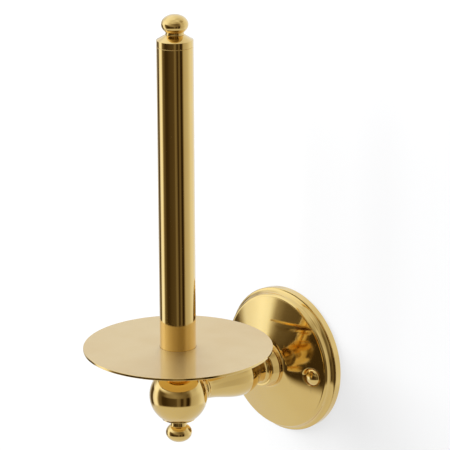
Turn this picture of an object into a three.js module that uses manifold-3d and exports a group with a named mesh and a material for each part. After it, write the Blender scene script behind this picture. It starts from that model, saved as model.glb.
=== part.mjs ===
// Wall-mounted spare toilet roll holder: a polished brass rose and turned arm carry a ball, and
// above the ball stand a round shelf and a vertical post that the rolls slide over.
// Millimetres, +Z up. The origin is the centre of the rose's back face on the wall (y = 0) and
// the arm runs along -Y into the room. "out" is a distance from the wall, so y = -out.
import * as THREE from 'three';
import { mergeVertices } from 'three/addons/utils/BufferGeometryUtils.js';
import Module from 'manifold-3d';

const wasm = await Module();
wasm.setup();

// ---------------------------------------------------------------- named clearances
const FACE_GAP = 0.05;        // between two pieces screwed face to face
const BORE_GAP = 0.15;        // all round a stud, rod or spigot in its hole
const CUT_GAP = 0.3;          // all round a piece let into another one by a cut

// ---------------------------------------------------------------- overall sizes
const REACH = 95;             // wall to the axis of the post
const SHELF_HEIGHT = 31.5;    // axis of the arm to the top of the shelf
const SHELF_RADIUS = 57.5;
const SHELF_THICK = 1.5;
const SHELF_RECESS = 0.4;     // shallow recess that the foot of the post stands in
const POST_RADIUS = 11;       // carries a roll core of about 40 mm
const POST_WALL = 1.2;
const POST_LENGTH = 186;      // tube, shelf to cap: room for two rolls

// ---------------------------------------------------------------- rose on the wall
const ROSE_RADIUS = 46.4;
const ROSE_EDGE = 4.5;        // height of the straight outer edge
const ROSE_EDGE_ROUND = 0.35;
const COVE_WIDTH = 3.0;       // hollow moulding between the edge and the raised face
const COVE_RISE = 3.7;
const LIP_WIDTH = 1.8;        // rounded corner of the raised face
const LIP_RISE = 1.9;
const ROSE_NECK_RADIUS = 14.4;
const ROSE_NECK_OUT = 20.6;   // end of the rose's neck
const ROSE_NECK_LAND = 2.0;   // straight length of that neck
const ROSE_SKIN = 3;          // metal left in front of the hollow back
const ROSE_RIM = 3.4;         // width of the rim that bears on the wall
const ROSE_RIM_SLOPE = 3;     // how far the rim thickens towards the front
const BOSS_RADIUS = 14.5;     // solid middle of the hollow back
const BOSS_FILLET = 2;
const NUT_POCKET_MARGIN = 2.4; // nut pocket's wall to the washer
const NUT_TO_WALL = 1.15;     // back of the nut to the wall
const FLARE_RISE = 6.8;       // how steeply the face climbs to the neck
const FLARE_WIDTH = 7.6;
const FLARE_LEVEL = 6.2;
const SCREW_INSET = 8.6;      // lip to the screws' axes
const SCREW_TURN = THREE.MathUtils.degToRad(3.3);   // the rose hangs this much off level
const SCREW_PAD_RADIUS = 7;

// ---------------------------------------------------------------- collar and arm
const NECK_COLLAR_RADIUS = 14;       // at the rose's side
const NECK_COLLAR_TAPER = 1.5;       // how much less at the arm's side
const NECK_COLLAR_LENGTH = 5.4;
const NECK_COLLAR_ROUND = 0.7;
const ARM_NECK_RADIUS = 9.0;
const ARM_FOOT_RADIUS = 10.7; // where the arm meets the collar
const ARM_NECK_LENGTH = 7.6;  // collar to the swell of the arm
const BULB_RADIUS = 13.25;    // thickest part of the arm
const BULB_OUT = 45;          // and its distance from the wall
const BULB_ROUND = 16.3;      // length of its rounded end
const ARM_WAIST_RADIUS = 8.0;
const ARM_BEAD_LENGTH = 3.1;  // small bead turned at the ball end
const ARM_BEAD_RISE = 0.4;
const ARM_BEAD_DROP = 0.3;    // how far the bead falls away at the ring
const ARM_FOOT_RISE = 0.4;
const END_RING_RADIUS = 8.9;
const END_RING_THICK = 1.15;

// ---------------------------------------------------------------- ball and what hangs on it
const BALL_RADIUS = 17.85;
const BALL_SPOT_RADIUS = 9.05;     // flat on the side, for the arm
const BALL_TOP_FLAT_RADIUS = 10.4;
const BALL_BOTTOM_FLAT_RADIUS = 11.35;
const LOWER_COLLAR_RADIUS = 10.4;
const LOWER_COLLAR_THICK = 1.2;
const SEAT_NECK_RADIUS = 8.2;
const SEAT_FLANGE_RADIUS = 15;
const SEAT_FLANGE_THICK = 2;
const SEAT_FOOT_THICK = 1;
const SEAT_FOOT_FILLET = 4;        // foot of the seat to its neck
const SEAT_FLANGE_FILLET = 4;      // neck to the flange
const PAD_THICK = 0.8;             // fibre pad under the shelf
const PAD_RADIUS = 13.5;

// ---------------------------------------------------------------- knobs and cap
const KNOB_RADIUS = 8.1;
const KNOB_HALF_HEIGHT = 6.0;
const FINIAL_NECK_RADIUS = 5.5;
const BOTTOM_NECK_RADIUS = 5;
const KNOB_NECK_FLARE = 0.1;      // how far its foot spreads
const FINIAL_NECK = 1.6;           // neck between the cap and the upper knob
const BOTTOM_NECK = 4.4;           // neck between the collar and the lower knob
const CAP_BAND = 3.9;              // straight band of the cap
const CAP_CONE = 3.1;              // height of its sloping top
const CAP_TOP_RADIUS = 5.8;
const CAP_SPIGOT = 9;              // length that plugs the tube
const TUBE_BEVEL = 0.25;           // chamfer on the tube's top that shows as a line under the cap

// ---------------------------------------------------------------- fixings
const ROD_RADIUS = 3;              // M6 rod and studs, drawn without their threads
const ROD_IN_CAP = 8;
const ROD_IN_KNOB = 9.5;
const FINIAL_STUD_IN_CAP = 6.2;
const STUD_IN_KNOB = 7;
const BALL_STUD_LENGTH = 19;
const BALL_STUD_IN_ARM = 11;
const ARM_STUD_IN_ARM = 11;
const FOOT_BUSH_LENGTH = 12;
const WASHER_RADIUS = 6.2;
const WASHER_THICK = 1.2;
const SPRING_RADIUS = 5.7;
const SPRING_THICK = 1.5;
const SPRING_SLIT = 1.2;
const NUT_ACROSS_FLATS = 10;
const NUT_THICK = 4.6;
const SCREW_RADIUS = 2.1;
const SCREW_HEAD_RADIUS = 4.1;
const SCREW_HEAD_HEIGHT = 2.4;
const SCREW_LENGTH = 45;
const SCREW_POINT = 6;
const CAP_COVER_RADIUS = 5.5;      // push-in dome over the screw head
const CAP_COVER_HEIGHT = 3.7;
const CAP_COVER_EDGE = 0.9;
const PEG_RADIUS = 1.1;
const PEG_LENGTH = 1.3;
const SPOT_DEPTH = 0.5;            // flat sunk in the rose's face for that dome
const COVER_EDGE_ROUND = 0.2;
const SLOT_WIDTH = 0.9;            // cross slot of the screw
const SLOT_TURN = 0.5;
const BAR_CHAMFER = 0.5;           // at the ends of the rod and studs
const STUD_PROUD = 0.2;            // stud beyond its nut
const EDGE_BREAK = 0.2;            // sharp turned edges

// ---------------------------------------------------------------- round segments
const FINE = 64;
const ROUND = 40;
const SMALL = 20;

// ---------------------------------------------------------------- places that follow from the sizes
const COLLAR_START = ROSE_NECK_OUT + FACE_GAP;
const COLLAR_END = COLLAR_START + NECK_COLLAR_LENGTH;
const ARM_START = COLLAR_END + FACE_GAP;
const BALL_SPOT = REACH - Math.sqrt(BALL_RADIUS ** 2 - BALL_SPOT_RADIUS ** 2);
const RING_END = BALL_SPOT - FACE_GAP;
const RING_START = RING_END - END_RING_THICK;
const ARM_END = RING_START - FACE_GAP;

const SHELF_BOTTOM = SHELF_HEIGHT - SHELF_THICK;
const PAD_TOP = SHELF_BOTTOM - FACE_GAP;
const PAD_BOTTOM = PAD_TOP - PAD_THICK;
const BALL_TOP = Math.sqrt(BALL_RADIUS ** 2 - BALL_TOP_FLAT_RADIUS ** 2);
const BALL_BOTTOM = -Math.sqrt(BALL_RADIUS ** 2 - BALL_BOTTOM_FLAT_RADIUS ** 2);
const SEAT_BOTTOM = BALL_TOP + FACE_GAP;
const SEAT_TOP = PAD_BOTTOM - FACE_GAP;
const TUBE_BOTTOM = SHELF_HEIGHT - SHELF_RECESS + FACE_GAP;
const TUBE_TOP = TUBE_BOTTOM + POST_LENGTH;
const CAP_BOTTOM = TUBE_TOP + FACE_GAP;
const CAP_SHOULDER = CAP_BOTTOM + CAP_BAND;
const CAP_TOP = CAP_SHOULDER + CAP_CONE;
const FINIAL_BOTTOM = CAP_TOP + FACE_GAP;
const COLLAR_TOP = BALL_BOTTOM - FACE_GAP;
const COLLAR_BOTTOM = COLLAR_TOP - LOWER_COLLAR_THICK;
const BOTTOM_KNOB_TOP = COLLAR_BOTTOM - FACE_GAP;
const TUBE_BORE = POST_RADIUS - POST_WALL;
const ROD_HOLE = ROD_RADIUS + BORE_GAP;
const ROD_BOTTOM = BOTTOM_KNOB_TOP - ROD_IN_KNOB;
const ROD_TOP = CAP_BOTTOM - CAP_SPIGOT + ROD_IN_CAP;
const STUD_BOTTOM = CAP_TOP - FINIAL_STUD_IN_CAP;
const STUD_TOP = FINIAL_BOTTOM + STUD_IN_KNOB;

const LIP_OUT = ROSE_EDGE + COVE_RISE + LIP_RISE;            // height of the raised face's lip
const LIP_RADIUS = ROSE_RADIUS - COVE_WIDTH - LIP_WIDTH;
const SCREW_PITCH_RADIUS = LIP_RADIUS - SCREW_INSET;

// the nut, spring washer and washer stand in the pocket behind the rose, nearest the wall first
const NUT_OUT = NUT_TO_WALL + NUT_THICK;
const SPRING_OUT = NUT_OUT + FACE_GAP + SPRING_THICK;
const WASHER_OUT = SPRING_OUT + FACE_GAP + WASHER_THICK;
const STUD_OUT = NUT_TO_WALL - STUD_PROUD;
const NUT_POCKET_DEPTH = WASHER_OUT + FACE_GAP;
const NUT_POCKET_RADIUS = WASHER_RADIUS + NUT_POCKET_MARGIN;

// ---------------------------------------------------------------- helpers
const brass = (roughness, colour = 0xcaa75f) =>
  new THREE.MeshStandardMaterial({ color: colour, roughness, metalness: 1 });
const POLISHED = () => brass(0.08);
const MACHINED = () => brass(0.35, 0xb89655);
const ZINC_STEEL = () => new THREE.MeshStandardMaterial({ color: 0xa9abae, roughness: 0.4, metalness: 1 });
const FIBRE = () => new THREE.MeshStandardMaterial({ color: 0x7a3b2a, roughness: 0.8, metalness: 0 });

function signedVolume(geometry) {
  const p = geometry.attributes.position;
  const index = geometry.index;
  const a = new THREE.Vector3();
  const b = new THREE.Vector3();
  const c = new THREE.Vector3();
  let sum = 0;
  for (let i = 0; i < index.count; i += 3) {
    a.fromBufferAttribute(p, index.getX(i));
    b.fromBufferAttribute(p, index.getX(i + 1));
    c.fromBufferAttribute(p, index.getX(i + 2));
    sum += a.dot(b.cross(c)) / 6;
  }
  return sum;
}

// Joins the shared vertices, drops faces that shrank to a line, and turns the faces outward.
function closed(source) {
  source.deleteAttribute('normal');
  source.deleteAttribute('uv');
  const geometry = mergeVertices(source, 1e-4);
  const kept = [];
  const index = geometry.index.array;
  for (let i = 0; i < index.length; i += 3) {
    const [a, b, c] = [index[i], index[i + 1], index[i + 2]];
    if (a !== b && b !== c && c !== a) kept.push(a, b, c);
  }
  geometry.setIndex(kept);
  if (signedVolume(geometry) < 0) geometry.setIndex(kept.reverse());
  return geometry;
}

// profile: [radius, height] pairs. It starts and ends on the axis, or its ends are joined up.
function lathe(profile, segments) {
  const points = profile.map(([r, h]) => new THREE.Vector2(r, h));
  const onAxis = points[0].x === 0 && points[points.length - 1].x === 0;
  if (!onAxis) points.push(points[0].clone());
  return new THREE.LatheGeometry(points, segments);
}

const alongPost = (profile, segments) => closed(lathe(profile, segments).rotateX(Math.PI / 2));
const alongArm = (profile, segments) => closed(lathe(profile.map(([r, out]) => [r, -out]), segments));

function solid(geometry) {
  return new wasm.Manifold(new wasm.Mesh({
    numProp: 3,
    vertProperties: new Float32Array(geometry.attributes.position.array),
    triVerts: new Uint32Array(geometry.index.array),
  }));
}

function fromSolid(manifold) {
  const mesh = manifold.getMesh();
  const geometry = new THREE.BufferGeometry();
  geometry.setAttribute('position', new THREE.BufferAttribute(Float32Array.from(mesh.vertProperties), 3));
  geometry.setIndex(new THREE.BufferAttribute(Uint32Array.from(mesh.triVerts), 1));
  return geometry;
}

function arc(centreR, centreH, radiusR, radiusH, from, to, steps) {
  const out = [];
  for (let i = 0; i <= steps; i++) {
    const a = THREE.MathUtils.degToRad(from + (to - from) * i / steps);
    out.push([centreR + radiusR * Math.cos(a), centreH + radiusH * Math.sin(a)]);
  }
  return out;
}

function bezier(p0, p1, p2, p3, steps) {
  const curve = new THREE.CubicBezierCurve(
    new THREE.Vector2(...p0), new THREE.Vector2(...p1), new THREE.Vector2(...p2), new THREE.Vector2(...p3));
  return curve.getPoints(steps).map((p) => [p.x, p.y]);
}

function part(name, geometry, material) {
  const mesh = new THREE.Mesh(geometry, material);
  mesh.name = name;
  return mesh;
}

// ---------------------------------------------------------------- rose
const flareStart = [ROSE_NECK_RADIUS, ROSE_NECK_OUT - ROSE_NECK_LAND];
const flareEnd = [LIP_RADIUS, LIP_OUT];
const flare = bezier(flareStart,
  [ROSE_NECK_RADIUS, LIP_OUT + FLARE_RISE],
  [ROSE_NECK_RADIUS + FLARE_WIDTH, LIP_OUT + FLARE_LEVEL],
  flareEnd, 11);

function faceHeight(radius) {
  for (let i = 1; i < flare.length; i++) {
    const [r0, h0] = flare[i - 1];
    const [r1, h1] = flare[i];
    if (radius >= r0 && radius <= r1) return h0 + (h1 - h0) * (radius - r0) / (r1 - r0);
  }
  return LIP_OUT;
}

const SPOT_OUT = faceHeight(SCREW_PITCH_RADIUS + CAP_COVER_RADIUS + CUT_GAP) - SPOT_DEPTH;

function roseShell() {
  const lip = arc(LIP_RADIUS, ROSE_EDGE + COVE_RISE, LIP_WIDTH, LIP_RISE, 90, 0, 5).slice(1);
  const cove = arc(ROSE_RADIUS, ROSE_EDGE + COVE_RISE, COVE_WIDTH, COVE_RISE, 180, 270, 6).slice(1);
  const backRim = ROSE_RADIUS - ROSE_RIM;
  const hollowTop = LIP_OUT - ROSE_SKIN;
  return [
    ...flare, ...lip, ...cove.slice(0, -1),
    [ROSE_RADIUS - ROSE_EDGE_ROUND, ROSE_EDGE], [ROSE_RADIUS, ROSE_EDGE - ROSE_EDGE_ROUND],
    [ROSE_RADIUS, ROSE_EDGE_ROUND], [ROSE_RADIUS - ROSE_EDGE_ROUND, 0],
    [backRim, 0], [backRim, ROSE_EDGE], [backRim - ROSE_RIM_SLOPE, hollowTop],
    [BOSS_RADIUS + BOSS_FILLET, hollowTop], [BOSS_RADIUS, hollowTop - BOSS_FILLET], [BOSS_RADIUS, 0],
    [NUT_POCKET_RADIUS, 0], [NUT_POCKET_RADIUS, NUT_POCKET_DEPTH], [ROD_HOLE, NUT_POCKET_DEPTH],
    [ROD_HOLE, ROSE_NECK_OUT], [ROSE_NECK_RADIUS - EDGE_BREAK, ROSE_NECK_OUT],
    [ROSE_NECK_RADIUS, ROSE_NECK_OUT - EDGE_BREAK],
  ];
}

function screwPlace(side) {
  const angle = side > 0 ? -SCREW_TURN : Math.PI - SCREW_TURN;
  return [SCREW_PITCH_RADIUS * Math.cos(angle), SCREW_PITCH_RADIUS * Math.sin(angle)];
}

function wallRose() {
  let body = solid(alongArm(roseShell(), FINE));
  for (const side of [1, -1]) {
    const [x, z] = screwPlace(side);
    const padTop = LIP_OUT - ROSE_SKIN / 2;
    const pad = alongArm([[0, 0], [SCREW_PAD_RADIUS, 0], [SCREW_PAD_RADIUS, padTop], [0, padTop]], SMALL);
    body = body.add(solid(pad.translate(x, 0, z)));
  }
  for (const side of [1, -1]) {
    const [x, z] = screwPlace(side);
    const hole = SCREW_RADIUS + CUT_GAP;
    const head = SCREW_HEAD_RADIUS + CUT_GAP;
    const coneStart = SPOT_OUT - SCREW_HEAD_HEIGHT - CUT_GAP;
    const spot = CAP_COVER_RADIUS + CUT_GAP;
    const cut = alongArm([[0, -5], [hole, -5], [hole, coneStart], [head, SPOT_OUT],
      [spot, SPOT_OUT], [spot, SPOT_OUT + 12], [0, SPOT_OUT + 12]], SMALL);
    body = body.subtract(solid(cut.translate(x, 0, z)));
  }
  return part('wall_rose', fromSolid(body), POLISHED());
}

// ---------------------------------------------------------------- arm
function neckCollar() {
  const r = NECK_COLLAR_RADIUS;
  const e = NECK_COLLAR_ROUND;
  return part('neck_collar', alongArm([
    [ROD_HOLE, COLLAR_START],
    ...arc(r - e, COLLAR_START + e, e, e, -90, 0, 4),
    ...arc(r - NECK_COLLAR_TAPER - e, COLLAR_END - e, e, e, 0, 90, 4),
    [ROD_HOLE, COLLAR_END],
  ], ROUND), POLISHED());
}

function arm() {
  const swell = ARM_START + ARM_NECK_LENGTH;
  const swellRadius = BULB_RADIUS * Math.sqrt(1 - ((BULB_OUT - swell) / BULB_ROUND) ** 2);
  const swellAngle = THREE.MathUtils.radToDeg(Math.asin((BULB_OUT - swell) / BULB_ROUND));
  const neckMiddle = ARM_START + ARM_NECK_LENGTH * 0.5;
  const neck = [
    ...bezier([ARM_FOOT_RADIUS, ARM_START + ARM_FOOT_RISE], [ARM_NECK_RADIUS, ARM_START + ARM_FOOT_RISE],
      [ARM_NECK_RADIUS, ARM_START + ARM_NECK_LENGTH * 0.3], [ARM_NECK_RADIUS, neckMiddle], 5),
    ...bezier([ARM_NECK_RADIUS, neckMiddle], [ARM_NECK_RADIUS, ARM_START + ARM_NECK_LENGTH * 0.75],
      [swellRadius * 0.93, ARM_START + ARM_NECK_LENGTH * 0.9], [swellRadius, swell], 5).slice(1),
  ];
  const bulb = arc(0, BULB_OUT, BULB_RADIUS, BULB_ROUND, -swellAngle, 0, 8).slice(1);
  const beadStart = ARM_END - ARM_BEAD_LENGTH;
  const body = [];
  for (let i = 1; i <= 10; i++) {
    const t = i / 10;
    const s = t * t * (3 - 2 * t);
    body.push([BULB_RADIUS + (ARM_WAIST_RADIUS - BULB_RADIUS) * s, BULB_OUT + (beadStart - BULB_OUT) * t]);
  }
  const bead = [];
  for (let i = 1; i <= 5; i++) {
    const t = i / 5;
    bead.push([ARM_WAIST_RADIUS + ARM_BEAD_RISE * Math.sin(Math.PI * t) - ARM_BEAD_DROP * t ** 4,
      beadStart + ARM_BEAD_LENGTH * t]);
  }
  const wallHole = ARM_START + ARM_STUD_IN_ARM + BORE_GAP;
  const ballHole = ARM_END - BALL_STUD_IN_ARM - BORE_GAP;
  return part('arm', alongArm([
    [0, wallHole], [ROD_HOLE, wallHole], [ROD_HOLE, ARM_START],
    [ARM_FOOT_RADIUS, ARM_START], ...neck, ...bulb, ...body, ...bead,
    [ROD_HOLE, ARM_END], [ROD_HOLE, ballHole], [0, ballHole],
  ], ROUND), POLISHED());
}

function armEndRing() {
  const e = END_RING_THICK * 0.35;
  const r = END_RING_RADIUS;
  return part('arm_end_ring', alongArm([
    [ROD_HOLE, RING_START], ...arc(r - e, RING_START + e, e, e, -90, 0, 3),
    ...arc(r - e, RING_END - e, e, e, 0, 90, 3), [ROD_HOLE, RING_END],
  ], ROUND), POLISHED());
}

const bar = (from, to) => [
  [0, from], [ROD_RADIUS - BAR_CHAMFER, from], [ROD_RADIUS, from + BAR_CHAMFER],
  [ROD_RADIUS, to - BAR_CHAMFER], [ROD_RADIUS - BAR_CHAMFER, to], [0, to],
];
const stud = (name, from, to) => part(name, alongArm(bar(from, to), SMALL), ZINC_STEEL());

function backWasher() {
  return part('back_washer', alongArm([
    [ROD_HOLE, WASHER_OUT], [WASHER_RADIUS, WASHER_OUT],
    [WASHER_RADIUS, WASHER_OUT - WASHER_THICK], [ROD_HOLE, WASHER_OUT - WASHER_THICK],
  ], SMALL), ZINC_STEEL());
}

function springWasher() {
  const ring = alongArm([
    [ROD_HOLE, SPRING_OUT], [SPRING_RADIUS, SPRING_OUT],
    [SPRING_RADIUS, SPRING_OUT - SPRING_THICK], [ROD_HOLE, SPRING_OUT - SPRING_THICK],
  ], SMALL);
  const slit = closed(new THREE.BoxGeometry(SPRING_SLIT, SPRING_THICK * 4, SPRING_RADIUS * 2)
    .rotateY(0.3).translate(0, -SPRING_OUT + SPRING_THICK / 2, SPRING_RADIUS));
  return part('spring_washer', fromSolid(solid(ring).subtract(solid(slit))), ZINC_STEEL());
}

function hexNut() {
  const hexagon = new THREE.Shape();
  const corner = NUT_ACROSS_FLATS / Math.sqrt(3);
  for (let i = 0; i < 6; i++) {
    const a = Math.PI / 3 * i;
    hexagon[i ? 'lineTo' : 'moveTo'](corner * Math.cos(a), corner * Math.sin(a));
  }
  hexagon.closePath();
  const hole = new THREE.Path();
  hole.absarc(0, 0, ROD_HOLE, 0, Math.PI * 2, true);
  hexagon.holes.push(hole);
  const nut = new THREE.ExtrudeGeometry(hexagon,
    { depth: NUT_THICK, bevelEnabled: false, curveSegments: SMALL });
  nut.rotateX(Math.PI / 2).translate(0, -NUT_TO_WALL, 0);
  return part('back_nut', closed(nut), ZINC_STEEL());
}

// ---------------------------------------------------------------- wall screws and their covers
function wallScrew(name, side) {
  const head = SPOT_OUT - CUT_GAP;
  const neck = head - SCREW_HEAD_HEIGHT;
  const end = head - SCREW_LENGTH;
  const body = alongArm([
    [0, head], [SCREW_HEAD_RADIUS, head], [SCREW_RADIUS, neck],
    [SCREW_RADIUS, end + SCREW_POINT], [0, end],
  ], SMALL);
  const round = alongArm([[0, head + 1], [PEG_RADIUS + CUT_GAP, head + 1],
    [PEG_RADIUS + CUT_GAP, head - PEG_LENGTH - CUT_GAP], [0, head - PEG_LENGTH - CUT_GAP]], SMALL);
  const arms = [0, Math.PI / 2].map((a) => solid(closed(
    new THREE.BoxGeometry(SCREW_HEAD_RADIUS * 1.15, 2 * PEG_LENGTH, SLOT_WIDTH)
      .rotateY(a + SLOT_TURN).translate(0, -head, 0))));
  const cut = solid(body).subtract(solid(round)).subtract(arms[0]).subtract(arms[1]);
  const [x, z] = screwPlace(side);
  const mesh = part(name, fromSolid(cut), ZINC_STEEL());
  mesh.position.set(x, 0, z);
  return mesh;
}

function screwCover(name, side) {
  const base = SPOT_OUT + FACE_GAP;
  const dome = arc(0, base + CAP_COVER_EDGE, CAP_COVER_RADIUS, CAP_COVER_HEIGHT - CAP_COVER_EDGE, 0, 90, 9);
  dome[dome.length - 1][0] = 0;
  const mesh = part(name, alongArm([
    [0, base - PEG_LENGTH], [PEG_RADIUS, base - PEG_LENGTH], [PEG_RADIUS, base],
    [CAP_COVER_RADIUS - COVER_EDGE_ROUND, base], [CAP_COVER_RADIUS, base + COVER_EDGE_ROUND], ...dome,
  ], SMALL), POLISHED());
  const [x, z] = screwPlace(side);
  mesh.position.set(x, 0, z);
  return mesh;
}

// ---------------------------------------------------------------- ball and shelf
function ball() {
  const top = THREE.MathUtils.radToDeg(Math.asin(BALL_TOP / BALL_RADIUS));
  const bottom = THREE.MathUtils.radToDeg(Math.asin(BALL_BOTTOM / BALL_RADIUS));
  const sphere = alongPost([
    [ROD_HOLE, BALL_BOTTOM], ...arc(0, 0, BALL_RADIUS, BALL_RADIUS, bottom, top, 16), [ROD_HOLE, BALL_TOP],
  ], ROUND);
  const spotFrom = REACH - BALL_SPOT;
  const flat = alongArm([[0, -spotFrom], [BALL_RADIUS, -spotFrom], [BALL_RADIUS, -spotFrom - BALL_RADIUS],
    [0, -spotFrom - BALL_RADIUS]], SMALL);
  const studTip = REACH - (ARM_END - BALL_STUD_IN_ARM + BALL_STUD_LENGTH) - BORE_GAP;
  const holeMouth = spotFrom + 1;
  const hole = alongArm([
    [0, -studTip], [ROD_HOLE, -studTip], [ROD_HOLE, -holeMouth], [0, -holeMouth],
  ], SMALL);
  return part('ball', fromSolid(solid(sphere).subtract(solid(flat)).subtract(solid(hole))), POLISHED());
}

function shelfSeat() {
  const flangeBottom = SEAT_TOP - SEAT_FLANGE_THICK;
  const footTop = SEAT_BOTTOM + SEAT_FOOT_THICK;
  return part('shelf_seat', alongPost([
    [ROD_HOLE, SEAT_BOTTOM], [BALL_TOP_FLAT_RADIUS, SEAT_BOTTOM], [BALL_TOP_FLAT_RADIUS, footTop],
    ...bezier([BALL_TOP_FLAT_RADIUS - 2 * EDGE_BREAK, footTop + EDGE_BREAK],
      [SEAT_NECK_RADIUS, footTop + EDGE_BREAK], [SEAT_NECK_RADIUS, footTop + SEAT_FOOT_FILLET * 0.5],
      [SEAT_NECK_RADIUS, footTop + SEAT_FOOT_FILLET], 5),
    ...bezier([SEAT_NECK_RADIUS, flangeBottom - SEAT_FLANGE_FILLET],
      [SEAT_NECK_RADIUS, flangeBottom - SEAT_FLANGE_FILLET * 0.4],
      [SEAT_FLANGE_RADIUS - SEAT_FLANGE_FILLET, flangeBottom], [SEAT_FLANGE_RADIUS, flangeBottom], 6),
    [SEAT_FLANGE_RADIUS, SEAT_TOP], [ROD_HOLE, SEAT_TOP],
  ], ROUND), POLISHED());
}

const pad = () => part('shelf_pad', alongPost([
  [ROD_HOLE, PAD_BOTTOM], [PAD_RADIUS, PAD_BOTTOM], [PAD_RADIUS, PAD_TOP], [ROD_HOLE, PAD_TOP],
], SMALL), FIBRE());

function shelf() {
  const e = SHELF_THICK * 0.18;
  const recess = POST_RADIUS + BORE_GAP;
  return part('shelf_plate', alongPost([
    [ROD_HOLE, SHELF_BOTTOM], [SHELF_RADIUS - e, SHELF_BOTTOM], [SHELF_RADIUS, SHELF_BOTTOM + e],
    [SHELF_RADIUS, SHELF_HEIGHT - e], [SHELF_RADIUS - e, SHELF_HEIGHT], [recess, SHELF_HEIGHT],
    [recess, SHELF_HEIGHT - SHELF_RECESS], [ROD_HOLE, SHELF_HEIGHT - SHELF_RECESS],
  ], FINE), POLISHED());
}

// ---------------------------------------------------------------- post
const postTube = () => part('post_tube', alongPost([
  [TUBE_BORE, TUBE_BOTTOM], [POST_RADIUS, TUBE_BOTTOM], [POST_RADIUS, TUBE_TOP - TUBE_BEVEL],
  [POST_RADIUS - TUBE_BEVEL, TUBE_TOP], [TUBE_BORE, TUBE_TOP],
], ROUND), POLISHED());

function footBush() {
  const r = TUBE_BORE - BORE_GAP;
  return part('foot_bush', alongPost([
    [ROD_HOLE, TUBE_BOTTOM], [r, TUBE_BOTTOM], [r, TUBE_BOTTOM + FOOT_BUSH_LENGTH - 1],
    [r - 1, TUBE_BOTTOM + FOOT_BUSH_LENGTH], [ROD_HOLE, TUBE_BOTTOM + FOOT_BUSH_LENGTH],
  ], SMALL), MACHINED());
}

function postCap() {
  const spigot = TUBE_BORE - BORE_GAP;
  const spigotEnd = CAP_BOTTOM - CAP_SPIGOT;
  return part('post_cap', alongPost([
    [ROD_HOLE, spigotEnd], [spigot - BAR_CHAMFER, spigotEnd], [spigot, spigotEnd + BAR_CHAMFER],
    [spigot, CAP_BOTTOM],
    [POST_RADIUS, CAP_BOTTOM],
    [POST_RADIUS, CAP_SHOULDER - EDGE_BREAK], [POST_RADIUS - EDGE_BREAK, CAP_SHOULDER],
    [CAP_TOP_RADIUS, CAP_TOP], [ROD_HOLE, CAP_TOP],
  ], ROUND), POLISHED());
}

const rod = (name, from, to) => part(name, alongPost(bar(from, to), SMALL), ZINC_STEEL());

// A flattened ball on a short neck. foot is the height of the neck's face, up is +1 or -1.
function knob(name, foot, neck, neckRadius, up, holeDepth) {
  const mouth = Math.asin(neckRadius / KNOB_RADIUS);
  const centre = neck + KNOB_HALF_HEIGHT * Math.cos(mouth);
  const from = THREE.MathUtils.radToDeg(mouth) - 90;
  const round = arc(0, centre, KNOB_RADIUS, KNOB_HALF_HEIGHT, from, 90, 12);
  round[round.length - 1][0] = 0;
  const profile = [
    [0, holeDepth], [ROD_HOLE, holeDepth], [ROD_HOLE, 0], [neckRadius + KNOB_NECK_FLARE, 0],
    [neckRadius, neck * 0.35], ...round,
  ];
  return part(name, alongPost(profile.map(([r, h]) => [r, foot + up * h]), ROUND), POLISHED());
}

const lowerCollar = () => part('lower_collar', alongPost([
  [ROD_HOLE, COLLAR_BOTTOM], [LOWER_COLLAR_RADIUS - EDGE_BREAK, COLLAR_BOTTOM],
  [LOWER_COLLAR_RADIUS, COLLAR_BOTTOM + EDGE_BREAK], [LOWER_COLLAR_RADIUS, COLLAR_TOP],
  [ROD_HOLE, COLLAR_TOP],
], ROUND), POLISHED());

// ---------------------------------------------------------------- assembly
const group = new THREE.Group();

const wallGroup = new THREE.Group();
wallGroup.add(wallRose(), neckCollar(), arm(), armEndRing());
wallGroup.add(stud('arm_stud', STUD_OUT, ARM_START + ARM_STUD_IN_ARM));
wallGroup.add(stud('ball_stud', ARM_END - BALL_STUD_IN_ARM, ARM_END - BALL_STUD_IN_ARM + BALL_STUD_LENGTH));
wallGroup.add(backWasher(), springWasher(), hexNut());
wallGroup.add(wallScrew('wall_screw_right', 1), wallScrew('wall_screw_left', -1));
wallGroup.add(screwCover('screw_cover_right', 1), screwCover('screw_cover_left', -1));
group.add(wallGroup);

const postGroup = new THREE.Group();
postGroup.position.set(0, -REACH, 0);
postGroup.add(ball(), shelfSeat(), pad(), shelf(), postTube(), footBush(), postCap());
postGroup.add(rod('tie_rod', ROD_BOTTOM, ROD_TOP), rod('finial_stud', STUD_BOTTOM, STUD_TOP));
postGroup.add(knob('finial', FINIAL_BOTTOM, FINIAL_NECK, FINIAL_NECK_RADIUS, 1, STUD_IN_KNOB + BORE_GAP));
postGroup.add(lowerCollar());
postGroup.add(knob('bottom_knob', BOTTOM_KNOB_TOP, BOTTOM_NECK, BOTTOM_NECK_RADIUS, -1,
  ROD_IN_KNOB + BORE_GAP));
group.add(postGroup);

export default group;
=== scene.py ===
import math

import bpy
import numpy as np
from mathutils import Matrix, Vector


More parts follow.
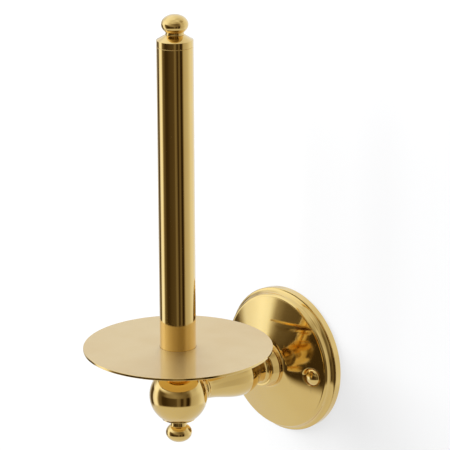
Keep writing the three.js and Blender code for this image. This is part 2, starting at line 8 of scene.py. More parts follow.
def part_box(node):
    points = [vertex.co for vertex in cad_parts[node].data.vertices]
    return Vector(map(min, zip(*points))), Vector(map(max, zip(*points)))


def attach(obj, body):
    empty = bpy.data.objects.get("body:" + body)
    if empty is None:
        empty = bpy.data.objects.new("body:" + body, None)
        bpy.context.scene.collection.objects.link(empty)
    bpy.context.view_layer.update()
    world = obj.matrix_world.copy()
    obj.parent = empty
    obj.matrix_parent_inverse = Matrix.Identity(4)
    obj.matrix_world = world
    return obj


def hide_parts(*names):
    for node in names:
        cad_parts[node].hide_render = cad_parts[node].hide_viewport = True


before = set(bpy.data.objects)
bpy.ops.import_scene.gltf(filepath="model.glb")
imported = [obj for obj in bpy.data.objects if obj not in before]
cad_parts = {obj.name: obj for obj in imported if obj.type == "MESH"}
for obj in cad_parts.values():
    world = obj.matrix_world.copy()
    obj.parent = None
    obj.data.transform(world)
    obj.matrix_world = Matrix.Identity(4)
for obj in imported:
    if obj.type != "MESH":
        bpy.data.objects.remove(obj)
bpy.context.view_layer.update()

# Spare roll holder in polished brass. Metres, +Z up, the wall at y = 0 and the room at -Y.
# Profiles are written in millimetres as rows of (radius, height); on the arm the height is the
# distance out from the wall, so y = -height.
MM = 0.001
AROUND = 192                    # points round a large turned piece


# ------------------------------------------------------------------ places, from the frame
def span(node, axis):
    """Lowest and highest place of a node along an axis, in millimetres."""
    lo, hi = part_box(node)
    return lo[axis] / MM, hi[axis] / MM


def half(node, axis):
    """Half a node's width along an axis, in millimetres."""
    lo, hi = span(node, axis)
    return (hi - lo) / 2


def out_from_wall(node):
    """Nearest and furthest distance of a node from the wall, in millimetres."""
    lo, hi = span(node, 1)
    return -hi, -lo


REACH = -sum(span("shelf_plate", 1)) / 2
ROD_HOLE = 3.15                 # plain hole round an M6 rod
BREAK = 0.2                     # sharp turned edges are broken this much
HOLE_BREAK = 0.1                # the edges of holes, broken less
CAMERA = dict(place=(1.0756, -1.1106, 0.5571), aim=(0.00365, -0.05828, 0.10079),
              roll=-0.276, lens=207.2)


# ------------------------------------------------------------------ profiles
def arc(centre, radii, start, end, steps):
    """Points on an ellipse: centre plus radii times (cos a, sin a), a from start to end degrees."""
    a = np.radians(np.linspace(start, end, steps + 1))
    return np.column_stack([centre[0] + radii[0] * np.cos(a), centre[1] + radii[1] * np.sin(a)])


def bezier(p0, p1, p2, p3, steps):
    """Cubic curve: the four points weighted by the Bernstein polynomials of t."""
    t = np.linspace(0, 1, steps + 1)[:, None]
    p0, p1, p2, p3 = (np.array(p, float) for p in (p0, p1, p2, p3))
    return p0 * (1 - t) ** 3 + 3 * p1 * t * (1 - t) ** 2 + 3 * p2 * t ** 2 * (1 - t) + p3 * t ** 3


def corner(before, at, after, cut=BREAK, steps=5):
    """A rounded corner: a parabola that leaves each run `cut` from the corner, with one more
    point on each run so that its shading stays on the corner."""
    before, at, after = (np.array(p, float) for p in (before, at, after))
    a = (before - at) / np.linalg.norm(before - at)
    b = (after - at) / np.linalg.norm(after - at)
    t = np.linspace(0, 1, steps + 1)[:, None]
    bend = (1 - t) ** 2 * (at + a * cut) + 2 * t * (1 - t) * at + t ** 2 * (at + b * cut)
    return np.vstack([at + a * cut * 1.4, bend, at + b * cut * 1.4])


def run(corners, cuts=BREAK, closed=True, steps=5):
    """Straight runs through the corners, each corner rounded by its own cut."""
    n = len(corners)
    cuts = [cuts] * n if np.isscalar(cuts) else cuts
    rows = []
    for i, at in enumerate(corners):
        if not closed and i in (0, n - 1) or cuts[i] == 0:
            rows.append(np.array([at], float))
        else:
            rows.append(corner(corners[i - 1], at, corners[(i + 1) % n], cuts[i], steps))
    return np.vstack(rows)


def join(*pieces):
    """Pieces of one profile end to end, without the points that fall on each other."""
    p = np.vstack(pieces)
    keep = np.ones(len(p), bool)
    keep[1:] = np.linalg.norm(np.diff(p, axis=0), axis=1) > 1e-5
    return p[keep]


def spread(p, step):
    """The same profile with points at most `step` apart, by straight interpolation."""
    gaps = np.linalg.norm(np.diff(p, axis=0), axis=1)
    counts = np.maximum(1, np.ceil(gaps / step).astype(int))
    at = np.concatenate([i + np.arange(c) / c for i, c in enumerate(counts)] + [[len(p) - 1]])
    index = np.arange(len(p))
    return np.column_stack([np.interp(at, index, p[:, 0]), np.interp(at, index, p[:, 1])])


# ------------------------------------------------------------------ meshes
def surface(name, points, closed):
    """A mesh over a grid of points [around, along, xyz] that closes on itself around. Along, it
    closes too, or each end is one point on the axis."""
    n, m = points.shape[:2]
    index = np.arange(n * m).reshape(n, m)
    if not closed:
        index[:, 0], index[:, -1] = index[0, 0], index[0, -1]
    nxt = np.roll(index, -1, axis=0)
    if closed:
        a, b = index, np.roll(index, -1, axis=1)
        c, d = np.roll(nxt, -1, axis=1), nxt
        faces = np.stack([a, b, c, d], -1).reshape(-1, 4).tolist()
    else:
        faces = np.stack([index[:, 1:-2], index[:, 2:-1], nxt[:, 2:-1], nxt[:, 1:-2]], -1)
        faces = faces.reshape(-1, 4).tolist()
        faces += np.stack([index[:, 0], index[:, 1], nxt[:, 1]], -1).tolist()
        faces += np.stack([index[:, -2], index[:, -1], nxt[:, -2]], -1).tolist()
    used = np.unique(index)
    new = np.zeros(n * m, int)
    new[used] = np.arange(len(used))
    co = points.reshape(-1, 3)[used]
    faces = [[int(new[i]) for i in f] for f in faces]
    halves = [[f[0], f[1], f[2]] for f in faces]
    halves += [[f[0], f[2], f[3]] for f in faces if len(f) == 4]
    p, q, r = (co[np.array(halves)[:, k]] for k in range(3))
    if np.einsum("ij,ij->", p, np.cross(q, r)) < 0:     # a negative volume is inside out
        faces = [f[::-1] for f in faces]
    mesh = bpy.data.meshes.new(name)
    mesh.from_pydata(co.tolist(), [], faces)
    mesh.shade_smooth()
    thing = bpy.data.objects.new(name, mesh)
    bpy.context.scene.collection.objects.link(thing)
    return thing


def turned(profile, about, centre=(0.0, 0.0), around=AROUND, closed=True):
    """Grid of a turned piece: each profile point (r, h) carried round the axis by the angle a,
    x = r cos a and r sin a across the axis, and h along it. `about` is "post" or "arm"."""
    a = np.arange(around) / around * 2 * np.pi
    r, h = profile[:, 0], profile[:, 1]
    side = r * np.cos(a)[:, None]
    up = r * np.sin(a)[:, None]
    along = np.broadcast_to(h, side.shape)
    if about == "post":
        grid = np.stack([side + centre[0], up - REACH, along], -1)
    else:
        grid = np.stack([side + centre[0], -along, up + centre[1]], -1)
    return grid * MM


def piece(name, grid, body, node, finish, closed=True):
    """One finished piece that stands for a CAD node and rides on its body."""
    thing = surface(name, grid, closed)
    thing.data.materials.append(finish)
    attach(thing, body)
    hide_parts(node)
    return thing


# ------------------------------------------------------------------ shader maths
class Wire:
    """A socket that carries a number, or a colour or vector that is passed on whole."""

    def __init__(self, finish, socket):
        self.finish, self.socket = finish, socket

    def _math(self, operation, *values):
        return self.finish.node("ShaderNodeMath", dict(enumerate(values)), operation=operation)

    def __add__(self, other):
        return self._math("ADD", self, other)

    def __radd__(self, other):
        return self._math("ADD", other, self)

    def __sub__(self, other):
        return self._math("SUBTRACT", self, other)

    def __rsub__(self, other):
        return self._math("SUBTRACT", other, self)

    def __mul__(self, other):
        return self._math("MULTIPLY", self, other)

    def __rmul__(self, other):
        return self._math("MULTIPLY", other, self)

    def __truediv__(self, other):
        return self._math("DIVIDE", self, other)

    def __pow__(self, other):
        return self._math("POWER", self, other)


class Finish:
    """A material and the nodes in it."""

    def __init__(self, name):
        self.material = bpy.data.materials.new(name)
        self.material.use_nodes = True
        self.tree = self.material.node_tree
        self.tree.nodes.clear()

    def node(self, kind, inputs=(), out=0, **settings):
        """Adds a node, sets its settings, then the values or links of its sockets."""
        made = self.tree.nodes.new(kind)
        stops = settings.pop("stops", None)
        for key, value in settings.items():
            setattr(made, key, value)
        if stops:
            while len(made.color_ramp.elements) < len(stops):
                made.color_ramp.elements.new(0.5)
            for element, (place, colour) in zip(made.color_ramp.elements, stops):
                element.position, element.color = place, colour
        for key, value in dict(inputs).items():
            if isinstance(value, Wire):
                self.tree.links.new(value.socket, made.inputs[key])
            else:
                made.inputs[key].default_value = value
        return Wire(self, made.outputs[out])

    def output(self, shader):
        end = self.tree.nodes.new("ShaderNodeOutputMaterial")
        self.tree.links.new(shader.socket, end.inputs["Surface"])
        return self.material

    def place(self, centre=(0, 0, 0)):
        """Object coordinates counted from a centre, in metres."""
        coordinates = self.node("ShaderNodeTexCoord", out="Object")
        return self.node("ShaderNodeVectorMath", {0: coordinates, 1: centre}, operation="SUBTRACT")

    def axes(self, vector):
        split = self.node("ShaderNodeSeparateXYZ", {0: vector})
        sockets = split.socket.node.outputs
        return [Wire(self, sockets[i]) for i in range(3)]

    def noise(self, vector, scale, detail=3.0, roughness=0.55):
        return self.node("ShaderNodeTexNoise", {"Vector": vector, "Scale": scale, "Detail": detail,
                                                "Roughness": roughness}, out="Fac")

    def stretch(self, vector, scale):
        return self.node("ShaderNodeMapping", {"Vector": vector, "Scale": scale})

    def between(self, value, low, high, to_low, to_high, smooth=False):
        return self.node("ShaderNodeMapRange", {"Value": value, "From Min": low, "From Max": high,
                                                "To Min": to_low, "To Max": to_high},
                         interpolation_type="SMOOTHSTEP" if smooth else "LINEAR")

    def mix(self, factor, a, b):
        return self.node("ShaderNodeMix", {"Factor": factor, 6: a, 7: b}, out=2, data_type="RGBA")


BRASS = (0.87, 0.63, 0.22)
SATIN_BRASS = (0.86, 0.66, 0.32)
WARMER = (0.965, 0.93, 0.86)    # how far the tone drifts, by red, green and blue
DULLED = 0.86                   # brightness of the brass in a scratch


def polished_brass(name, about, rough, lines, worn, colour=BRASS):
    """Lacquered polished brass: faint tone drift, buffing haze, fine lines left by the lathe and a
    few hair scratches. `about` is the axis that the lines go round, `rough` the least and most
    roughness that the haze gives, and `lines` and `worn` the depth of the lines and scratches.
    The lines are noise over (radius, height), with radius = sqrt(x^2 + y^2) across the axis."""
    f = Finish(name)
    centre = (0, -REACH * MM, 0) if about == "post" else (0, 0, 0)
    place = f.place(centre)
    x, y, z = f.axes(place)
    if about == "arm":
        radius, height = (x * x + z * z) ** 0.5, y
    else:
        radius, height = (x * x + y * y) ** 0.5, z
    drift = f.noise(place, 22.0, 2.0)
    haze = f.noise(place, 95.0, 5.0, 0.62)
    ring = f.node("ShaderNodeCombineXYZ", {0: radius, 1: height})
    ridges = f.noise(ring, 2600.0, 2.0, 0.5)
    hairs = f.noise(f.stretch(place, (900.0, 900.0, 60.0)), 1.0, 3.0, 0.6)
    hair_mask = f.between(hairs, 0.63, 0.70, 0.0, 1.0)
    warm = tuple(c * k for c, k in zip(colour, WARMER)) + (1.0,)
    tone = f.mix(f.between(drift, 0.3, 0.7, 0.0, 1.0, smooth=True), colour + (1.0,), warm)
    dull = tuple(c * DULLED for c in colour) + (1.0,)
    base = f.mix(hair_mask * (0.10 * worn), tone, dull)
    sheen = f.between(haze, 0.3, 0.7, *rough) + ridges * 0.02 + hair_mask * (0.12 * worn)
    relief = ridges * lines + hairs * (0.4 * worn) + haze * 0.5
    bump = f.node("ShaderNodeBump", {"Strength": 0.06, "Distance": 0.00005, "Height": relief})
    shader = f.node("ShaderNodeBsdfPrincipled", {
        "Base Color": base, "Metallic": 1.0, "Roughness": sheen, "Normal": bump,
        "Coat Weight": 1.0, "Coat Roughness": 0.04, "Coat IOR": 1.5})
    return f.output(shader)


brass_rose = polished_brass("buffed_brass", "arm", (0.05, 0.09), 1.0, 1.0)
brass_arm = polished_brass("polished_brass_arm", "arm", (0.04, 0.07), 1.0, 1.0)
brass_post = polished_brass("polished_brass_post", "post", (0.03, 0.055), 1.0, 1.0)
satin_brass = polished_brass("satin_brass_shelf", "post", (0.46, 0.52), 0.2, 0.15, SATIN_BRASS)


# ------------------------------------------------------------------ rose
EDGE, COVE, LIP = 4.5, (3.0, 3.7), (1.8, 1.9)   # edge height, then (width, height)
WALL = 3.0                      # thickness of the rose behind its lip
RIM = 3.4                       # width of the edge at the back
BOSS, BOSS_HOLE, BOSS_DEEP = 14.5, 8.6, 8.6     # boss round the stud, and the nut's pocket in it
ROSE_TURN = 3.3                 # degrees that the rose hangs off level
SINK = dict(side=0.24, past=0.12, mouth=4.4, run=2.0, deep=2.7)     # flat and countersink
PAD = dict(radius=7.12, side=0.3)               # round pad behind each screw
PEG = 1.3                       # a screw cover's peg behind its dome
COVER_SEAT = 0.05               # the dome sits this far over its flat
rose_radius = half("wall_rose", 0)
neck_radius, neck_end = 14.4, out_from_wall("wall_rose")[1]
lip_radius = rose_radius - COVE[0] - LIP[0]
lip_out = EDGE + COVE[1] + LIP[1]
cove_out = EDGE + COVE[1]
flare = bezier((neck_radius, neck_end - 2.0), (neck_radius, lip_out + 6.8),
               (neck_radius + 7.6, lip_out + 6.2), (lip_radius, lip_out), 90)
cover_place = [Vector([sum(span(n, 0)) / 2, sum(span(n, 2)) / 2])
               for n in ("screw_cover_right", "screw_cover_left")]
SPOT = 5.8                      # radius of the flat under each screw cover
spot_out = out_from_wall("screw_cover_right")[0] + PEG - COVER_SEAT


def rose_grid():
    """The rose: its profile carried round the arm's axis, with points closer together near the
    two screws, where the front sinks to a flat spot and a countersink and the back rises to a
    round pad. The sink and the rise depend on the distance to the screw's axis."""
    dense = spread(flare, 0.5)
    inner = dense[dense[:, 0] < 26.5]
    middle_r = np.arange(26.6, 39.6, 0.24)
    middle = np.column_stack([middle_r, np.interp(middle_r, flare[:, 0], flare[:, 1])])
    outer = dense[dense[:, 0] > 39.7]
    lip = arc((lip_radius, cove_out), LIP, 90, 0, 12)
    cove = arc((rose_radius, cove_out), COVE, 180, 268, 14)
    side = run([(rose_radius - 1.2, EDGE), (rose_radius, EDGE), (rose_radius, 0),
                (rose_radius - RIM, 0), (rose_radius - RIM, EDGE)],
               [0, 0.35, 0.35, 0.2, 0], closed=False)
    top = lip_out - WALL
    back_r = np.arange(39.6, 26.5, -0.3)
    back = np.vstack([
        [(rose_radius - 5.0, EDGE + 1.6)],
        np.column_stack([back_r, np.full(len(back_r), top)]),
        run([(26.4, top), (BOSS, top), (BOSS, 0), (BOSS_HOLE, 0), (BOSS_HOLE, BOSS_DEEP),
             (ROD_HOLE, BOSS_DEEP), (ROD_HOLE, neck_end), (neck_radius, neck_end),
             (neck_radius, neck_end - 1.9)], [0, 1.5, 0.3, 0.3, 0.3, 0, 0.1, 0.25, 0], closed=False)])
    profile = join(inner, middle, outer, lip, cove, side, back)
    near = np.radians(np.linspace(-11.6, 11.6, 56))
    far = np.radians(np.linspace(11.6, 168.4, 112)[1:-1])
    a = np.concatenate([near, far, near + np.pi, far + np.pi]) - math.radians(ROSE_TURN)
    r = profile[:, 0] * np.ones((len(a), 1))
    out = profile[:, 1] * np.ones((len(a), 1))
    x, z = r * np.cos(a)[:, None], r * np.sin(a)[:, None]
    front = (np.arange(len(profile)) < len(inner) + len(middle) + len(outer)) & (profile[:, 1] > top)
    behind = (np.abs(profile[:, 1] - top) < 1e-6) & ~front
    for place in cover_place:
        d = np.hypot(x - place[0], z - place[1])
        sunk = np.clip((SPOT + SINK["past"] - d) / SINK["side"], 0, 1)
        cone = np.clip((SINK["mouth"] - d) / SINK["run"], 0, 1) * SINK["deep"]
        target = spot_out - cone
        out = np.where(front, out + (target - out) * sunk, out)
        pad = np.clip((PAD["radius"] - d) / PAD["side"], 0, 1)
        out = np.where(behind, out * (1 - pad), out)
    return np.stack([x, -out, z], -1) * MM


piece("rose", rose_grid(), "holder", "wall_rose", brass_rose)


# ------------------------------------------------------------------ collar and arm
def collar_profile():
    start, end = out_from_wall("neck_collar")
    r, taper, soft = half("neck_collar", 0), 1.5, 0.75
    return run([(ROD_HOLE, start), (r, start), (r - taper, end), (ROD_HOLE, end)],
               [HOLE_BREAK, soft, soft, HOLE_BREAK], steps=8)


def arm_profile():
    """The arm: a spread foot, a waisted neck, an ellipse up to the thickest place, then a long
    smoothstep t^2 (3 - 2t) down to the small bead at the ball end, half a sine wave that ends a
    little lower. The bore at each end takes a stud."""
    start, end = out_from_wall("arm")
    foot, neck, bulb, waist = 10.7, 9.0, half("arm", 0), 8.0
    length, bulb_out, bulb_round, bore = 7.6, 45.0, 16.3, 11.15
    swell = start + length
    swell_radius = bulb * math.sqrt(1 - ((bulb_out - swell) / bulb_round) ** 2)
    swell_angle = math.degrees(math.asin((bulb_out - swell) / bulb_round))
    middle = start + length / 2
    bead_start = end - 3.1
    t = np.linspace(0, 1, 70)[1:]
    body = np.column_stack([bulb + (waist - bulb) * t * t * (3 - 2 * t),
                            bulb_out + (bead_start - bulb_out) * t])
    t = np.linspace(0, 1, 16)[1:]
    bead = np.column_stack([waist + 0.4 * np.sin(np.pi * t) - 0.3 * t ** 4, bead_start + 3.1 * t])
    bead[-1, 1] -= 0.1
    return join(
        run([(ROD_HOLE, start + bore), (ROD_HOLE, start), (foot, start), (foot, start + 0.4)],
            [0, HOLE_BREAK, 0.15, 0], closed=False),
        bezier((foot, start + 0.4), (neck, start + 0.4), (neck, start + length * 0.3),
               (neck, middle), 24),
        bezier((neck, middle), (neck, start + length * 0.75), (swell_radius * 0.93, start + length * 0.9),
               (swell_radius, swell), 24),
        arc((0, bulb_out), (bulb, bulb_round), -swell_angle, 0, 40), body, bead,
        run([(waist - 0.6, end), (ROD_HOLE, end), (ROD_HOLE, end - bore)],
            [HOLE_BREAK, HOLE_BREAK, 0], closed=False))


def capped(profile):
    """The same profile with its two ends closed on the axis."""
    return np.vstack([[(0, profile[0, 1])], profile, [(0, profile[-1, 1])]])


def ring_profile():
    start, end = out_from_wall("arm_end_ring")
    r, soft = half("arm_end_ring", 0), 0.42
    return run([(ROD_HOLE, start), (r, start), (r, end), (ROD_HOLE, end)],
               [HOLE_BREAK, soft, soft, HOLE_BREAK], steps=7)


piece("neck_ring", turned(collar_profile(), "arm"), "holder", "neck_collar",
      brass_arm)
piece("turned_arm", turned(capped(arm_profile()), "arm"), "holder", "arm",
      brass_arm, closed=False)
piece("arm_tip_ring", turned(ring_profile(), "arm"), "holder", "arm_end_ring",
      brass_arm)


# ------------------------------------------------------------------ ball, seat, shelf
def ball_grid():
    """A sphere with a flat and a hole at its top and bottom. The cap that faces the arm is drawn
    along its own radii on to a flat."""
    bottom, top = span("ball", 2)
    radius = half("ball", 0)
    low, high = (math.degrees(math.asin(z / radius)) for z in (bottom, top))
    profile = join([(ROD_HOLE, bottom)], arc((0, 0), (radius, radius), low, high, 90), [(ROD_HOLE, top)])
    grid = turned(profile, "post")
    flat = out_from_wall("ball")[0] * MM
    y = grid[..., 1] + REACH * MM
    reach = REACH * MM - flat
    scale = np.where(y > reach, reach / np.maximum(y, 1e-9), 1.0)
    centre = np.array([0, -REACH * MM, 0])
    return centre + (grid - centre) * scale[..., None]


def seat_profile():
    bottom, top = span("shelf_seat", 2)
    foot, neck, flange = 10.4, 8.2, half("shelf_seat", 0)
    under = top - 2.0
    return join(
        run([(ROD_HOLE, bottom), (foot, bottom), (foot, bottom + 1), (foot - 0.4, bottom + 1.2)],
            [HOLE_BREAK, 0.2, 0.15, 0], closed=False),
        bezier((foot - 0.4, bottom + 1.2), (neck, bottom + 1.2), (neck, bottom + 3),
               (neck, bottom + 5), 16),
        bezier((neck, under - 4), (neck, under - 1.6), (flange - 4, under), (flange, under), 20)[:-1],
        run([(flange - 0.3, under), (flange, under), (flange, top), (ROD_HOLE, top)],
            [0, 0.2, 0.2, HOLE_BREAK], closed=False))


def shelf_profile():
    bottom, top = span("shelf_plate", 2)
    r = half("shelf_plate", 0)
    recess, deep, rim = half("post_tube", 0) + 0.15, 0.4, 1.0
    flat_top = np.linspace(r - rim, recess + 0.6, 60)
    return join(
        run([(ROD_HOLE, bottom), (r, bottom), (r, top), (r - rim, top)],
            [HOLE_BREAK, 0.3, 0.3, 0], closed=False, steps=6),
        np.column_stack([flat_top, np.full(60, top)]),
        run([(recess + 0.6, top), (recess, top), (recess, top - deep), (ROD_HOLE, top - deep)],
            [0, 0.08, 0.08, 0], closed=False))


piece("ball_boss", ball_grid(), "holder", "ball", brass_post)
piece("shelf_pedestal", turned(seat_profile(), "post"), "holder", "shelf_seat",
      brass_post)
shelf = piece("round_shelf", turned(shelf_profile(), "post", around=256), "holder", "shelf_plate",
              satin_brass)
shelf.data.materials.append(brass_post)
for face in shelf.data.polygons:        # the edge and the underside are polished, the top is satin
    face.material_index = 0 if face.normal.z > 0.9 else 1


# ------------------------------------------------------------------ post and cap
def tube_profile():
    bottom, top = span("post_tube", 2)
    r, wall = half("post_tube", 0), 1.2
    ring = run([(r - wall, bottom), (r, bottom), (r, top), (r - wall, top)], [0.12, 0.12, 0.3, 0.12])
    return join(spread(np.vstack([ring, ring[:1]]), 2.0)[:-1])


def cap_profile():
    """The cap: a plug in the tube, a straight band as wide as the tube, and a cone."""
    bottom, top = span("post_cap", 2)
    r = half("post_cap", 0)
    face, plug, cone_top = bottom + 9.0, 9.65, 5.8
    shoulder = top - 3.1
    return run([(ROD_HOLE, bottom), (plug, bottom), (plug, face), (r, face), (r, shoulder),
                (cone_top, top), (ROD_HOLE, top)],
               [HOLE_BREAK, 0.4, 0.1, 0.1, 0.22, 0.15, HOLE_BREAK], steps=6)


def knob_profile(node, up, neck, throat):
    """A flattened ball on a short neck, drilled for its stud. `up` is 1 or -1, `neck` the neck's
    length and `throat` its radius. The ball is an ellipse that begins where it is as wide as the
    neck, at the angle asin(throat / wide) from its axis."""
    low, high = span(node, 2)
    foot = low if up > 0 else high
    wide, tall = half(node, 0), 6.0
    depth = 7.15 if up > 0 else 9.65
    mouth = math.asin(throat / wide)
    centre = neck + tall * math.cos(mouth)
    rows = join(
        [(0, depth), (ROD_HOLE, depth), (ROD_HOLE, 0.1), (ROD_HOLE + 0.1, 0), (throat, 0)],
        bezier((throat + 0.1, 0.1), (throat + 0.05, neck * 0.3), (throat, neck * 0.5),
               (throat, neck), 14),
        arc((0, centre), (wide, tall), math.degrees(mouth) - 90, 90, 70))
    rows[-1, 0] = 0
    return np.column_stack([rows[:, 0], foot + up * rows[:, 1]])


def drop_profile():
    bottom, top = span("lower_collar", 2)
    r = half("lower_collar", 0)
    return run([(ROD_HOLE, bottom), (r, bottom), (r, top), (ROD_HOLE, top)],
               [HOLE_BREAK, 0.25, 0.12, HOLE_BREAK])


piece("post", turned(tube_profile(), "post"), "holder", "post_tube", brass_post)
piece("cap", turned(cap_profile(), "post"), "holder", "post_cap", brass_post)
piece("top_knob", turned(knob_profile("finial", 1, 1.6, 5.5), "post", around=128),
      "finial_turn", "finial", brass_post, closed=False)
piece("lower_ring", turned(drop_profile(), "post"), "collar_drop", "lower_collar",
      brass_post)
piece("under_knob", turned(knob_profile("bottom_knob", -1, 4.4, 5.0), "post", around=128),
      "knob_turn", "bottom_knob", brass_post, closed=False)


# ------------------------------------------------------------------ screw covers
def cover_profile(node):
    """A shallow dome, a quarter ellipse over a low edge, with a peg behind it."""
    low, high = out_from_wall(node)
    base, r, edge, peg = low + PEG, half(node, 0), 0.9, 1.1
    return join([(0, low), (peg - 0.1, low), (peg, low + 0.1), (peg, base)],
                run([(peg + 0.1, base), (r, base), (r, base + edge)], [0, 0.2, 0], closed=False),
                arc((0, base + edge), (r, high - base - edge), 0, 90, 30)[:-1], [(0, high)])


for name, node, body, at in (("right_screw_dome", "screw_cover_right", "cover_right", cover_place[0]),
                             ("left_screw_dome", "screw_cover_left", "cover_left", cover_place[1])):
    piece(name, turned(cover_profile(node), "arm", centre=at, around=96), body, node,
          brass_arm, closed=False)


# ------------------------------------------------------------------ fixings kept from the frame
def plain_metal(name, colour, rough, grain):
    """Plated or turned metal: mottled tone, fine grain and a slightly uneven sheen."""
    f = Finish(name)
    place = f.place()
    mottle = f.noise(place, 420.0, 4.0, 0.6)
    fine = f.noise(place, grain, 3.0, 0.6)
    dark = tuple(c * 0.78 for c in colour) + (1.0,)
    base = f.mix(f.between(mottle, 0.3, 0.7, 0.0, 1.0), colour + (1.0,), dark)
    bump = f.node("ShaderNodeBump", {"Strength": 0.25, "Distance": 0.00004, "Height": fine})
    shader = f.node("ShaderNodeBsdfPrincipled", {
        "Base Color": base, "Metallic": 1.0,
        "Roughness": f.between(fine, 0.3, 0.7, rough, rough + 0.15), "Normal": bump})
    return f.output(shader)


def fibre(name, colour):
    """Pressed fibre sheet: matt, with a close fleck."""
    f = Finish(name)
    place = f.place()
    fleck = f.noise(place, 1800.0, 4.0, 0.7)
    pale = tuple(min(1, c * 1.5) for c in colour) + (1.0,)
    base = f.mix(f.between(fleck, 0.4, 0.65, 0.0, 1.0), colour + (1.0,), pale)
    bump = f.node("ShaderNodeBump", {"Strength": 0.4, "Distance": 0.00008, "Height": fleck})
    shader = f.node("ShaderNodeBsdfPrincipled", {
        "Base Color": base, "Roughness": f.between(fleck, 0.3, 0.7, 0.72, 0.9), "Normal": bump})
    return f.output(shader)


zinc = plain_metal("zinc_plated_steel", (0.62, 0.63, 0.64), 0.28, 2600.0)
lathe_brass = plain_metal("turned_brass", (0.70, 0.50, 0.22), 0.30, 3200.0)
red_fibre = fibre("red_fibre", (0.20, 0.045, 0.022))
KEPT = {"arm_stud": zinc, "ball_stud": zinc, "back_washer": zinc, "spring_washer": zinc,
        "back_nut": zinc, "wall_screw_right": zinc, "wall_screw_left": zinc, "tie_rod": zinc,
        "finial_stud": zinc, "foot_bush": lathe_brass, "shelf_pad": red_fibre}
for node, finish in KEPT.items():
    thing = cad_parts[node]
    thing.data.materials.clear()
    thing.data.materials.append(finish)


# ------------------------------------------------------------------ wall, floor and light
def sweep():
    """Wall and floor in one sheet: up the wall, round a quarter circle and out along the floor."""
    wall_y, top, floor, bend, front = 0.0004, 1.6, -0.62, 0.25, -1.1
    a = np.radians(np.linspace(0, 90, 25))
    y = np.concatenate([[wall_y], wall_y - bend * (1 - np.cos(a)), [front]])
    z = np.concatenate([[top], floor + bend * (1 - np.sin(a)), [floor]])
    x = np.linspace(-2.2, 2.2, 3)
    grid = np.stack([x[:, None] * np.ones(len(y)), y * np.ones((3, 1)), z * np.ones((3, 1))], -1)
    index = np.arange(grid.shape[0] * grid.shape[1]).reshape(grid.shape[:2])
    faces = np.stack([index[:-1, :-1], index[:-1, 1:], index[1:, 1:], index[1:, :-1]], -1)
    faces = faces.reshape(-1, 4)
    mesh = bpy.data.meshes.new("wall_and_floor")
    mesh.from_pydata(grid.reshape(-1, 3).tolist(), [], faces.tolist())
    mesh.shade_smooth()
    thing = bpy.data.objects.new("wall_and_floor", mesh)
    bpy.context.scene.collection.objects.link(thing)
    thing.visible_glossy = False
    return thing


def wall_paint():
    """White paint on the room side of the sheet, and nothing on the side that faces the wall. The
    paint glows a little, so that shadows on it stay faint."""
    f = Finish("white_wall")
    place = f.place()
    shade = f.between(f.noise(place, 3.0, 2.0), 0.3, 0.7, 0.0, 1.0)
    base = f.mix(shade, (0.108, 0.109, 0.111, 1.0), (0.111, 0.112, 0.114, 1.0))
    paint = f.node("ShaderNodeBsdfPrincipled", {
        "Base Color": base, "Roughness": 0.85, "Specular IOR Level": 0.2,
        "Emission Color": (1.0, 1.0, 1.0, 1.0), "Emission Strength": 0.70})
    clear = f.node("ShaderNodeBsdfTransparent")
    behind = f.node("ShaderNodeNewGeometry", out="Backfacing")
    return f.output(f.node("ShaderNodeMixShader", {0: behind, 1: paint, 2: clear}))


TENT_RADIUS, TENT_CENTRE = 1.5, (0, -0.06, 0.1)
TENT_LEVEL = 0.91               # brightness of the whole tent
HEADROOM = 1.5                  # a ramp's colours stop at 1, so levels are divided by this first


def tent():
    """A round tent that only polished metal reflects: white, with a dark opening to the room."""
    n, m = 96, 48
    a = np.arange(n) / n * 2 * np.pi
    e = np.linspace(-np.pi / 2, np.pi / 2, m)
    grid = np.stack([np.cos(e) * np.sin(a)[:, None], -np.cos(e) * np.cos(a)[:, None],
                     np.sin(e) * np.ones((n, 1))], -1)
    grid = TENT_RADIUS * grid + np.array(TENT_CENTRE)
    thing = surface("studio_tent", grid, False)
    for ray in ("camera", "diffuse", "transmission", "volume_scatter", "shadow"):
        setattr(thing, "visible_" + ray, False)
    return thing


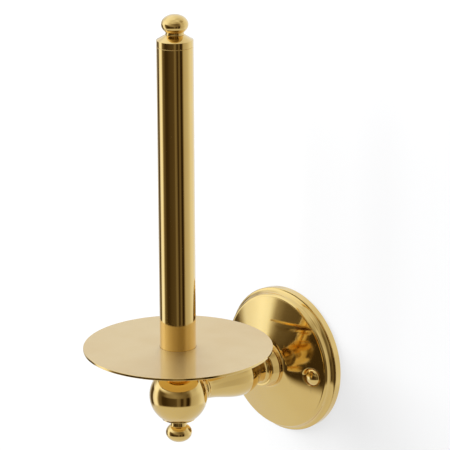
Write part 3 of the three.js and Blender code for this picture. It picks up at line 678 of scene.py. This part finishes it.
# Brightness of the tent's cloth by direction. Each row is a band of height, given by the two
# heights between which it takes over from the row below it, and holds (azimuth, brightness)
# pairs. Azimuth 0 is straight into the room and 90 is +X, along the wall. All in degrees.
TENT = (
    (None, ((-180, .78), (-90, .78), (0, .75), (90, .70), (180, .76))),
    ((-36, -29), ((-180, 1.0), (-150, .97), (-118, .80), (-102, .66), (-94, .30), (-86, .08), (-73, .10),
                  (-71, .35), (-67, 1.0), (-54, 1.25), (-46, 1.15), (-41, .60), (-37, .25), (-33, .15),
                  (-26, .13), (-18, .05), (-4, .05), (10, .08), (32, .10), (38, .13), (42, .24), (51, .18),
                  (56, .04), (62, .06), (67, .18), (73, .17), (77, .04), (86, .02), (91, .18), (97, .54),
                  (126, .69), (150, .95))),
    ((-3, 3), ((-180, 1.0), (-150, .98), (-128, .75), (-112, .60), (-96, .56), (-84, .62), (-74, 1.0),
               (-67, 1.28), (-53, 1.3), (-46, 1.15), (-41, .36), (-34, .16), (-24, .12), (-15, .14),
               (0, .30), (32, .36), (50, .26), (82, .14), (89, .22), (94, .40), (102, .63),
               (122, .70), (137, .88), (160, .95), (180, 1.0))),
    ((10, 20), ((-180, 1.0), (-130, .95), (-112, 1.02), (-98, .85), (-84, 1.0), (-66, 1.22), (-48, 1.25),
                (-28, 1.15), (-16, .95), (-6, .72), (6, .58), (16, .42), (30, .30), (56, .16), (78, .20),
                (92, .36), (101, .64), (122, .60), (138, .82), (155, .90), (180, 1.0))),
    ((34, 46), ((-180, .88), (-140, .95), (-118, 1.10), (-84, 1.15), (-52, 1.15), (-22, 1.04), (-6, .82),
                (22, .80), (42, .64), (68, .48), (88, .55), (100, .72), (113, .45), (140, .42), (152, .75),
                (180, .86))),
    ((54, 68), ((-180, .76), (-150, .94), (-110, 1.05), (-62, 1.10), (-34, .96), (0, .80), (60, .80),
                (100, .92), (126, .74), (180, .76))),
)


def tent_cloth():
    """Emission by direction, from the table: each row is a ramp over the azimuth atan2(x, -y),
    and one row gives way to the next by a smoothstep over the height asin(z / radius). Bright
    cloth is a little cooler and the dark opening warmer: green and blue are the level times
    (level / white)^power."""
    f = Finish("tent_cloth")
    x, y, z = f.axes(f.place(TENT_CENTRE))
    turn = f.node("ShaderNodeMath", {0: x, 1: y * -1.0}, operation="ARCTAN2") / (2 * math.pi) + 0.5
    rise = f.node("ShaderNodeMath", {0: z / TENT_RADIUS}, operation="ARCSINE") * (180 / math.pi)
    level = None
    for heights, stops in TENT:
        stops = [((azimuth + 180) / 360, (v * TENT_LEVEL / HEADROOM,) * 3 + (1.0,))
                 for azimuth, v in stops]
        row = f.node("ShaderNodeValToRGB", {0: turn}, stops=stops) * HEADROOM
        if level is None:
            level = row
        else:
            level = level + (row - level) * f.between(rise, *heights, 0, 1, smooth=True)
    green = level * (level / 0.76) ** 0.15
    blue = level * (level / 0.80) ** 0.45
    colour = f.node("ShaderNodeCombineColor", {0: level, 1: green, 2: blue})
    glow = f.node("ShaderNodeEmission", {"Color": colour, "Strength": 1.0})
    f.material.cycles.emission_sampling = "NONE"
    return f.output(glow)


def area(name, place, aim, size, power):
    """A soft square light."""
    data = bpy.data.lights.new(name, "AREA")
    data.shape, data.size, data.energy = "SQUARE", size, power
    lamp = bpy.data.objects.new(name, data)
    lamp.location = place
    lamp.rotation_mode = "QUATERNION"
    lamp.rotation_quaternion = (Vector(aim) - Vector(place)).to_track_quat("-Z", "Y")
    lamp.visible_glossy = False
    lamp.visible_camera = False
    bpy.context.scene.collection.objects.link(lamp)
    return lamp


sweep().data.materials.append(wall_paint())
tent().data.materials.append(tent_cloth())
area("key", (-0.9, -2.1, 1.3), (0, 0, 0.05), 1.6, 115.0)
area("side", (-0.8, -0.7, 0.5), (-0.1, 0, 0.1), 0.6, 22.0)

world = bpy.data.worlds.new("pale_room")
world.use_nodes = True
background = world.node_tree.nodes["Background"]
background.inputs["Color"].default_value = (1.0, 1.0, 1.0, 1.0)
background.inputs["Strength"].default_value = 0.85
bpy.context.scene.world = world
bpy.context.scene.view_settings.view_transform = "Standard"


# ------------------------------------------------------------------ camera
def camera():
    data = bpy.data.cameras.new("camera")
    data.lens, data.sensor_width = CAMERA["lens"], 36.0
    data.clip_start, data.clip_end = 0.05, 20.0
    thing = bpy.data.objects.new("camera", data)
    place = Vector(CAMERA["place"])
    look = Vector(CAMERA["aim"]) - place
    thing.rotation_mode = "QUATERNION"
    thing.location = place
    thing.rotation_quaternion = (look.to_track_quat("-Z", "Y")
                                 @ Matrix.Rotation(math.radians(CAMERA["roll"]), 3, "Z").to_quaternion())
    bpy.context.scene.collection.objects.link(thing)
    bpy.context.scene.camera = thing


camera()
